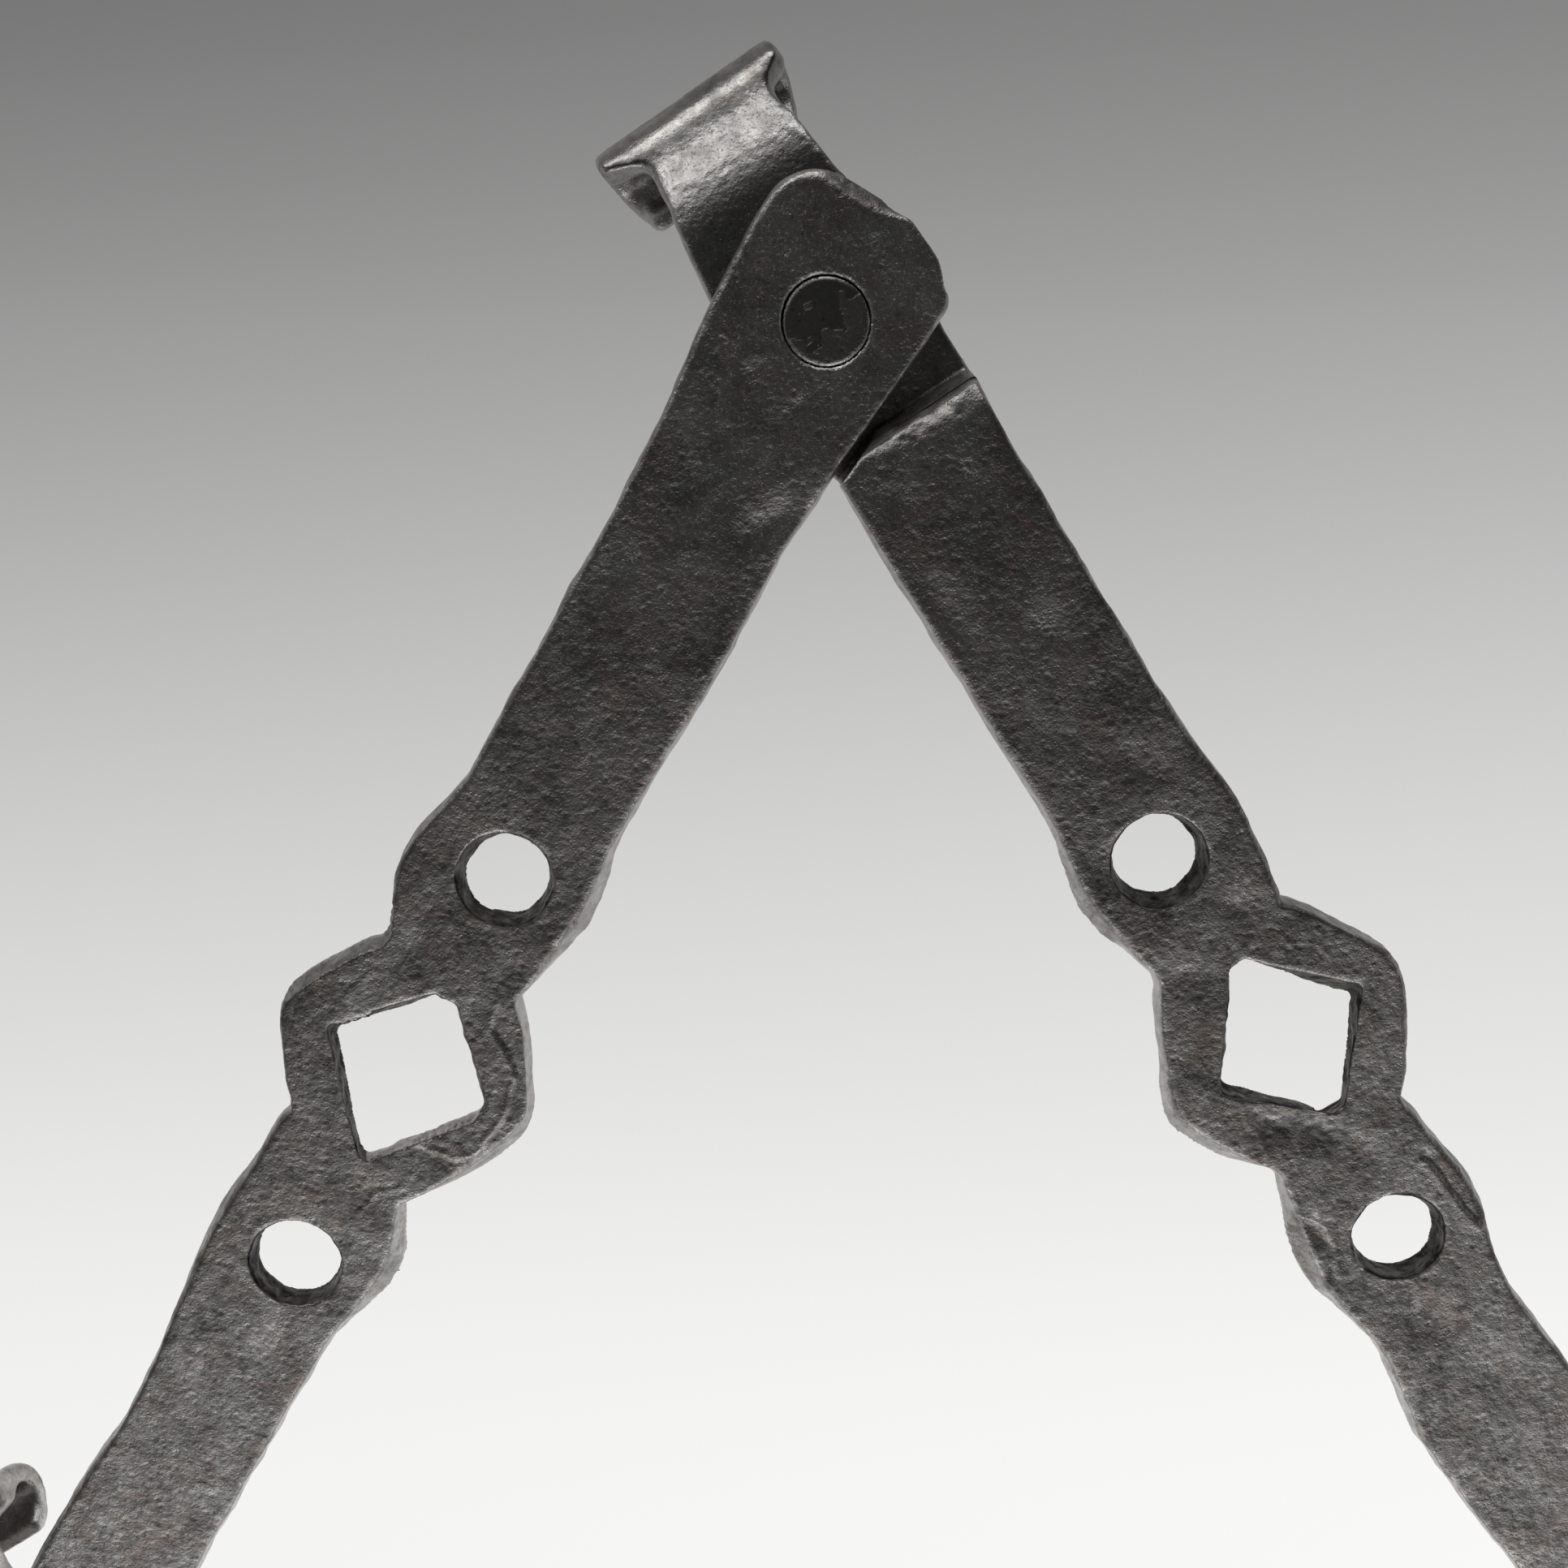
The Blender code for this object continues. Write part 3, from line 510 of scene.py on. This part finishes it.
def head(skin, at, seed):
    """A rivet: a flush peened top that nearly fills its hole, a snap head below."""
    noise, fine = Noise(seed), Noise(seed + 1)
    skin.smooth(2)
    p = skin.points
    n = skin.normals()
    r = np.hypot(p[:, 0], p[:, 1])
    angle = np.arctan2(p[:, 1], p[:, 0])
    around = np.stack([np.cos(angle) * 1.3, np.sin(angle) * 1.3, np.zeros(len(p))], 1)
    near_top = ramp(p[:, 2], TOP - 1.6, TOP - 0.5)
    spread = np.clip(near_top * (0.17 + 0.08 * noise.fbm(around, 2)), 0.0, 0.24)
    side = 1.0 - ramp(np.abs(n[:, 2]), 0.3, 0.8)
    unit = np.stack([np.cos(angle), np.sin(angle), np.zeros(len(p))], 1)
    skin.points = p + unit * (spread * np.maximum(side, ramp(r, 4.6, 6.0)))[:, None]
    skin.points[:, 0] += 0.04 * near_top
    skin.points[:, 1] -= 0.04 * near_top
    top = ramp(n[:, 2], 0.5, 0.9) * (p[:, 2] > TOP - 1.2)
    skin.points[:, 2] += top * (0.05 * noise.fbm(p / 4.0, 2) + 0.012 * fine.fbm(p / 1.2, 2) - 0.05 * ramp(r, 3.4, 6.2))
    snap = (p[:, 2] < TOP - 2.0 * THICK - 0.9) & (r > 0.0)
    facets = 0.30 * (noise.creased(p / 5.0 + 4.0, 1) - 0.7) + 0.03 * fine.fbm(p / 1.5, 2)
    skin.points += n * np.where(snap & (n[:, 2] < 0.2), np.clip(facets, -0.3, 0.12), 0.0)[:, None]
    fresh = skin.normals()
    soft = skin.points
    for _ in range(5):
        soft = 0.5 * soft + 0.5 * skin.mean(soft)
    turn = skin.blurred(((skin.points - soft) * fresh).sum(1), 1)
    skin.store("wear", ramp(turn, 0.02, 0.09))
    skin.store("hollow", ramp(-turn, 0.01, 0.08))
    zero = np.zeros(len(p))
    patch = ramp(noise.fbm(p / 3.6 + 2.0, 2) + 0.13 * (p[:, 0] - p[:, 1]), 0.02, 0.10) * top
    for name in ("hole_wall", "fold", "flank_shade_and_torn_end", "shoulder_painted_light"):
        skin.store(name, zero)
    skin.store("bare_and_painted_sheen", 0.15 * patch)
    skin.store("sleek", np.where(top > 0.3, 0.85 - 0.35 * patch, 0.45))
    skin.store("across", p[:, 1])
    skin.store("along", p[:, 0])


# ---- materials -----------------------------------------------------------


class Graph:
    def __init__(self, name):
        self.material = bpy.data.materials.new(name)
        self.material.use_nodes = True
        self.tree = self.material.node_tree
        self.tree.nodes.clear()

    def add(self, kind, inputs=None, **settings):
        node = self.tree.nodes.new(kind)
        for key, value in settings.items():
            setattr(node, key, value)
        for key, value in (inputs or {}).items():
            socket = node.inputs[key]
            if isinstance(value, bpy.types.NodeSocket):
                self.tree.links.new(value, socket)
            else:
                socket.default_value = value
        return node

    def math(self, operation, a, b=None, c=None, clamp=False):
        node = self.tree.nodes.new("ShaderNodeMath")
        node.operation = operation
        node.use_clamp = clamp
        for i, value in enumerate((a, b, c)):
            if value is None:
                continue
            if isinstance(value, bpy.types.NodeSocket):
                self.tree.links.new(value, node.inputs[i])
            else:
                node.inputs[i].default_value = value
        return node.outputs[0]

    def mapped(self, value, low, high, out_low=0.0, out_high=1.0):
        node = self.add(
            "ShaderNodeMapRange",
            {"Value": value, "From Min": low, "From Max": high, "To Min": out_low, "To Max": out_high},
        )
        return node.outputs[0]

    def mix(self, factor, a, b):
        node = self.tree.nodes.new("ShaderNodeMix")
        node.data_type = "RGBA"
        for socket, value in ((node.inputs["Factor"], factor), (node.inputs["A"], a), (node.inputs["B"], b)):
            # a Mix node lists one A and one B for each data type, so the colour ones are picked by type
            if socket.name in ("A", "B"):
                socket = [i for i in node.inputs if i.name == socket.name and i.type == "RGBA"][0]
            if isinstance(value, bpy.types.NodeSocket):
                self.tree.links.new(value, socket)
            else:
                socket.default_value = value if socket.type == "VALUE" else (*value, 1.0)
        return [o for o in node.outputs if o.type == "RGBA"][0]

    def attribute(self, name):
        return self.add("ShaderNodeAttribute", attribute_name=name, attribute_type="GEOMETRY").outputs["Fac"]

    def noise(self, where, scale, detail=3.0, roughness=0.5, distortion=0.0):
        return self.add(
            "ShaderNodeTexNoise",
            {"Vector": where, "Scale": scale, "Detail": detail, "Roughness": roughness, "Distortion": distortion},
        ).outputs["Fac"]


def forged_iron(name, offset, shade, sleekness):
    """Black forge scale, waxed: leathery grain, brown cast, edges worn to grey steel, with painted light and shade on
    flanks, hole walls, shoulders and feet.
    """
    g = Graph(name)
    place = g.add("ShaderNodeTexCoord").outputs["Object"]
    where = g.add(
        "ShaderNodeMapping", {"Vector": place, "Location": offset, "Scale": (1000.0, 1000.0, 1000.0)}
    ).outputs[0]
    wear = g.attribute("wear")
    hollow = g.attribute("hollow")
    wall = g.attribute("hole_wall")
    fold = g.attribute("fold")
    bare_and_painted_sheen = g.attribute("bare_and_painted_sheen")
    sleek = g.attribute("sleek")
    flank_shade_and_torn_end = g.attribute("flank_shade_and_torn_end")
    shoulder_painted_light = g.attribute("shoulder_painted_light")

    broad = g.noise(where, 0.075, 3.0, 0.55)
    mottle = g.noise(where, 0.42, 5.0, 0.68, 0.4)
    cast = g.noise(where, 0.16, 4.0, 0.6, 0.8)
    grain = g.noise(where, 0.80, 5.0, 0.58)
    fine = g.noise(where, 2.0, 4.0, 0.66)
    speck = g.noise(where, 1.7, 2.0, 0.5)
    # shallow pits where scale came away: some wide, many small
    wide_pits = g.add("ShaderNodeTexVoronoi", {"Vector": where, "Scale": 0.62}).outputs["Distance"]
    small_pits = g.add("ShaderNodeTexVoronoi", {"Vector": where, "Scale": 1.7}).outputs["Distance"]

    tone = g.math("ADD", g.math("MULTIPLY", mottle, 0.62), g.math("MULTIPLY", broad, 0.38))
    colour = g.mix(
        g.mapped(tone, 0.38, 0.64),
        tuple(c * shade for c in (0.135, 0.130, 0.125)),
        tuple(c * shade for c in (0.46, 0.445, 0.428)),
    )
    brown = g.math("MULTIPLY", g.mapped(cast, 0.50, 0.68), 0.45)
    colour = g.mix(brown, colour, tuple(c * shade for c in (0.30, 0.232, 0.198)))
    # grey blue where the scale is tight
    colour = g.mix(g.math("MULTIPLY", g.mapped(cast, 0.42, 0.28), 0.35), colour, tuple(c * shade for c in (0.31, 0.325, 0.342)))
    # paler metal: painted sheen standing in for reflections, and the rivets' bare patches
    colour = g.mix(g.math("MULTIPLY", bare_and_painted_sheen, g.mapped(mottle, 0.30, 0.62, 0.45, 0.95)), colour, (0.60, 0.585, 0.565))
    rubbed_edges_and_lit_flanks = g.math("MULTIPLY", wear, g.mapped(grain, 0.30, 0.58), clamp=True)
    colour = g.mix(g.math("MULTIPLY", rubbed_edges_and_lit_flanks, 0.75), colour, (0.62, 0.60, 0.58))
    # painted shade: the hole walls are made near black, less metallic and less glossy in place of the shade inside the
    # holes
    painted_wall_shade = g.math("MULTIPLY", g.mapped(wall, 0.05, 0.55), g.mapped(mottle, 0.35, 0.65, 1.0, 0.82), clamp=True)
    colour = g.mix(painted_wall_shade, colour, (0.014, 0.0105, 0.0085))
    colour = g.mix(g.math("MULTIPLY", hollow, 0.45), colour, (0.05, 0.046, 0.043))
    # painted shade on the outer flanks, and the sheared end's own dark
    colour = g.mix(g.math("MULTIPLY", flank_shade_and_torn_end, g.mapped(mottle, 0.35, 0.65, 0.85, 0.45)), colour, (0.075, 0.070, 0.066))
    sunk = g.math("MAXIMUM", g.mapped(small_pits, 0.20, 0.05), g.math("MULTIPLY", g.mapped(wide_pits, 0.22, 0.06), 0.7))
    sunk = g.math("MULTIPLY", sunk, g.math("SUBTRACT", 0.75, g.math("MULTIPLY", bare_and_painted_sheen, 0.5)), clamp=True)
    colour = g.mix(sunk, colour, tuple(c * shade for c in (0.070, 0.064, 0.060)))
    # darker along the cold shuts: the crack's own dark, with painted shadow beside the raised lip and the step
    colour = g.mix(g.math("MULTIPLY", fold, 0.45), colour, (0.03, 0.027, 0.025))
    rust = g.math("MULTIPLY", g.mapped(speck, 0.735, 0.76), g.mapped(cast, 0.45, 0.6), clamp=True)
    colour = g.mix(rust, colour, (0.42, 0.13, 0.045))

    rough = g.math("ADD", g.mapped(mottle, 0.3, 0.7, 0.36, 0.21), g.math("MULTIPLY", fine, 0.08))
    rough = g.math("SUBTRACT", rough, g.math("MULTIPLY", sleek, 0.08))
    rough = g.math("SUBTRACT", rough, g.math("MULTIPLY", rubbed_edges_and_lit_flanks, 0.06))
    rough = g.math("ADD", rough, g.math("MULTIPLY", wall, 0.08))
    rough = g.math("ADD", rough, g.math("MULTIPLY", rust, 0.3), clamp=True)

    height = g.math("MULTIPLY", grain, 0.17)
    height = g.math("ADD", height, g.math("MULTIPLY", g.mapped(wide_pits, 0.10, 0.42), 0.055))
    height = g.math("ADD", height, g.math("MULTIPLY", g.mapped(small_pits, 0.08, 0.36), 0.034))
    height = g.math("ADD", height, g.math("MULTIPLY", fine, 0.075))
    height = g.math("MULTIPLY", height, g.math("SUBTRACT", 1.0, g.math("MULTIPLY", sleek, sleekness)))
    bump = g.add("ShaderNodeBump", {"Strength": 1.0, "Distance": 0.001, "Height": height})

    # less metal where there is rust, where shade is painted on the hole walls and outer flanks, and where light is
    # painted on the shoulder
    scaled = g.math("MAXIMUM", painted_wall_shade, g.math("MULTIPLY", rust, 0.85))
    scaled = g.math("MAXIMUM", scaled, g.math("MULTIPLY", flank_shade_and_torn_end, 0.72))
    scaled = g.math("MAXIMUM", scaled, g.math("MULTIPLY", shoulder_painted_light, 0.75))
    metal = g.math("MULTIPLY", g.math("SUBTRACT", 1.0, scaled), 0.95)
    gloss = g.math("SUBTRACT", 0.5, g.math("MULTIPLY", painted_wall_shade, 0.49))
    shader = g.add(
        "ShaderNodeBsdfPrincipled",
        {
            "Base Color": colour, "Metallic": metal, "Roughness": rough,
            "Specular IOR Level": gloss, "Normal": bump.outputs[0],
        },
    )
    output = g.add("ShaderNodeOutputMaterial")
    g.tree.links.new(shader.outputs[0], output.inputs["Surface"])
    return g.material


# ---- pieces --------------------------------------------------------------


def bar_frame(pin, far):
    """Matrix from a bar's own frame, at its first rivet, to the world."""
    way = (far - pin).normalized()
    matrix = Matrix((way, Vector((-way.y, way.x, 0.0)), Vector((0.0, 0.0, 1.0)))).transposed().to_4x4()
    matrix.translation = Vector((pin.x, pin.y, 0.0))
    return matrix


def finish_piece(name, skin, matrix, body, node, material):
    skin.write(matrix)
    piece = bpy.data.objects.new(name, skin.mesh)
    bpy.context.scene.collection.objects.link(piece)
    skin.mesh.materials.append(material)
    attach(piece, body)
    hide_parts(node)
    return piece


BARS = (
    # node, body, first rivet, other rivet, kind, footed, seed, exact features, shade
    ("plain_bar_left", "plain_left", TOP_PIN, LEFT_PIN, PLAIN, False, 11, True, 1.0),
    ("plain_bar_right", "plain_right", BOTTOM_PIN, RIGHT_PIN, PLAIN, False, 23, False, 1.05),
    ("footed_bar_right", "footed_right", TOP_PIN, RIGHT_PIN, FOOTED, True, 37, True, 0.98),
    ("footed_bar_left", "footed_left", BOTTOM_PIN, LEFT_PIN, FOOTED, True, 51, False, 1.0),
)
for node, body, pin, far, kind, footed, seed, exact, shade in BARS:
    matrix = bar_frame(pin, far)
    voxel = 0.42 if exact else 0.52
    skin = Skin(remeshed(node, matrix.inverted(), voxel))
    forge(skin, kind, footed, seed, exact)
    material = forged_iron("forged_" + node, (seed * 7.0, seed * 3.0, 0.0), shade, 0.72)
    finish_piece("forged_" + node, skin, matrix, body, node, material)

RIVETS = (
    ("top_rivet", "plain_left", TOP_PIN, 71),
    ("left_rivet", "plain_left", LEFT_PIN, 83),
    ("right_rivet", "plain_right", RIGHT_PIN, 97),
    ("bottom_rivet", "plain_right", BOTTOM_PIN, 101),
)
for node, body, pin, seed in RIVETS:
    matrix = Matrix.Translation(Vector((pin.x, pin.y, 0.0)))
    skin = Skin(remeshed(node, matrix.inverted(), 0.24))
    head(skin, pin, seed)
    material = forged_iron("peened_" + node, (seed * 5.0, seed * 2.0, 0.0), 0.80, 0.85)
    finish_piece("peened_" + node, skin, matrix, body, node, material)

# ---- stage ---------------------------------------------------------------

BACKDROP = (
    # share of the frame's height from the bottom, and the painted brightness there
    (0.0, 0.928), (0.07, 0.922), (0.172, 0.886), (0.275, 0.802), (0.379, 0.720), (0.482, 0.638),
    (0.586, 0.540), (0.689, 0.445), (0.793, 0.353), (0.86, 0.298), (0.91, 0.265), (0.955, 0.238), (1.0, 0.208),
)


def backdrop_painted_light(g):
    """The pale sweep's painted light: a glow brighter at the bottom of the frame than at its top."""
    window = g.add("ShaderNodeTexCoord").outputs["Window"]
    height = g.add("ShaderNodeSeparateXYZ", {"Vector": window})
    tones = g.add("ShaderNodeValToRGB", {"Fac": height.outputs["Y"]})
    tones.color_ramp.interpolation = "B_SPLINE"
    stops = tones.color_ramp.elements
    while len(stops) > 1:
        stops.remove(stops[-1])
    for i, (at, grey) in enumerate(BACKDROP):
        stop = stops[0] if i == 0 else stops.new(at)
        stop.position = at
        stop.color = (grey, grey * 0.994, grey * 0.990, 1.0)
    # painted light: a little brighter to the right, most of all at the top
    lean = g.mapped(height.outputs["Y"], 0.25, 1.0, 0.05, 0.24)
    across = g.math("MULTIPLY", g.math("SUBTRACT", height.outputs["X"], 0.5), lean)
    share = g.math("ADD", across, 1.0)
    spread = g.add("ShaderNodeCombineColor", {"Red": share, "Green": share, "Blue": share})
    scaled = g.tree.nodes.new("ShaderNodeMix")
    scaled.data_type, scaled.blend_type = "RGBA", "MULTIPLY"
    scaled.inputs["Factor"].default_value = 1.0
    first, second = (
        [i for i in scaled.inputs if i.name == label and i.type == "RGBA"][0] for label in ("A", "B")
    )
    g.tree.links.new(tones.outputs["Color"], first)
    g.tree.links.new(spread.outputs["Color"], second)
    return [o for o in scaled.outputs if o.type == "RGBA"][0]


def floor_material():
    g = Graph("pale_floor")
    seen = g.add("ShaderNodeLightPath").outputs["Is Camera Ray"]
    # to everything but the camera the sweep is bright under the piece and dim far off,
    # and it fades towards the back as the picture's own backdrop does
    place = g.add("ShaderNodeTexCoord").outputs["Object"]
    reach = g.add("ShaderNodeVectorMath", {0: place}, operation="LENGTH").outputs["Value"]
    depth = g.add("ShaderNodeSeparateXYZ", {"Vector": place}).outputs["Y"]
    near = g.math("MULTIPLY", g.mapped(reach, 0.38, 0.95, 1.0, 0.14), g.mapped(depth, 0.02, 0.30, 0.98, 0.20))
    lit = g.add("ShaderNodeCombineColor", {"Red": near, "Green": near, "Blue": near}).outputs["Color"]
    colour = g.mix(seen, lit, backdrop_painted_light(g))
    # the floor glows and is not lit: the camera sees the painted backdrop, and everything else sees a light table
    glow = g.add("ShaderNodeEmission", {"Color": colour, "Strength": 1.0})
    output = g.add("ShaderNodeOutputMaterial")
    g.tree.links.new(glow.outputs[0], output.inputs["Surface"])
    return g.material


floor_mesh = bpy.data.meshes.new("floor")
bm = bmesh.new()
bmesh.ops.create_grid(bm, x_segments=2, y_segments=2, size=3.0)
bm.to_mesh(floor_mesh)
bm.free()
floor = bpy.data.objects.new("floor", floor_mesh)
floor.location = (0.0, 0.0, -0.0004)
floor_mesh.materials.append(floor_material())
bpy.context.scene.collection.objects.link(floor)

world = bpy.data.worlds.new("studio")
bpy.context.scene.world = world
world.use_nodes = True
tree = world.node_tree
tree.nodes.clear()
wg = Graph.__new__(Graph)
wg.tree = tree
seen = wg.add("ShaderNodeLightPath").outputs["Is Camera Ray"]
# the camera sees the painted backdrop glow, and everything else sees a dark room
room = wg.mix(seen, (0.020, 0.020, 0.021), backdrop_painted_light(wg))
background = wg.add("ShaderNodeBackground", {"Color": room, "Strength": 1.0})
wo = wg.add("ShaderNodeOutputWorld")
tree.links.new(background.outputs[0], wo.inputs["Surface"])


def softbox(name, at, target, width, height, radiance, colour=(1.0, 1.0, 1.0)):
    light = bpy.data.lights.new(name, "AREA")
    light.shape = "RECTANGLE"
    light.size, light.size_y = width, height
    light.energy = radiance * math.pi * width * height
    light.color = colour
    lamp = bpy.data.objects.new(name, light)
    lamp.location = at
    lamp.rotation_mode = "QUATERNION"
    lamp.rotation_quaternion = (Vector(target) - Vector(at)).to_track_quat("-Z", "Y")
    lamp.visible_camera = False
    bpy.context.scene.collection.objects.link(lamp)
    return lamp


softbox("rear_softbox", (-0.22, 1.00, 0.25), (0.0, 0.20, 0.02), 1.5, 0.34, 2.3)
softbox("rear_panel", (-0.20, 0.80, 0.58), (0.0, 0.22, 0.02), 1.3, 0.36, 0.42)
softbox("overhead_panel", (0.0, -0.46, 0.70), (0.0, 0.10, 0.02), 1.4, 0.70, 0.44)
softbox("front_softbox", (0.0, -0.80, 0.46), (0.0, 0.10, 0.02), 1.4, 0.34, 2.4)
softbox("left_softbox", (-0.95, 0.0, 0.30), (0.0, 0.05, 0.02), 0.9, 0.4, 0.3)
softbox("right_softbox", (0.95, 0.0, 0.30), (0.0, 0.05, 0.02), 0.9, 0.4, 0.6)

camera = bpy.data.cameras.new("photo_view")
camera.sensor_width = 36.0
camera.lens = 40.553
camera.clip_start = 0.02
eye = bpy.data.objects.new("photo_view", camera)
bpy.context.scene.collection.objects.link(eye)
eye.matrix_world = Matrix(
    (
        (0.999665, 0.023123, 0.011641, -0.004526),
        (-0.025233, 0.970802, 0.238552, 0.231670),
        (-0.005785, -0.238766, 0.971060, 0.283490),
        (0.0, 0.0, 0.0, 1.0),
    )
)
bpy.context.scene.camera = eye
